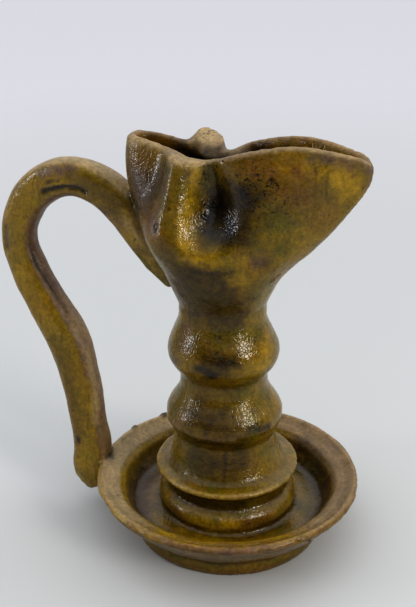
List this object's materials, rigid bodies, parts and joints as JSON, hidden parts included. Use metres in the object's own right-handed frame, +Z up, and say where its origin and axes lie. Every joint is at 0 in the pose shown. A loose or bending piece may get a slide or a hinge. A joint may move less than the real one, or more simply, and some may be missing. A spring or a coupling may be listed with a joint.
{
  "type": "oil lamp",
  "caption": "Glazed ceramic oil lamp: a pinched cup with a pointed spout on a bulbous stem, with a strap handle and a drip dish.",
  "frame": {"origin": "centre of the flat underside of the foot", "axes": "+Z up along the stem, +X towards the tip of the spout, the handle along -X"},
  "size_m": [0.1764, 0.125, 0.1892],
  "materials": {
    "amber_glaze": "glossy olive-brown lead glaze, worn pale on the edges"
  },
  "bodies": {
    "root": {"oil_lamp": "amber_glaze"}
  },
  "joints": []
}
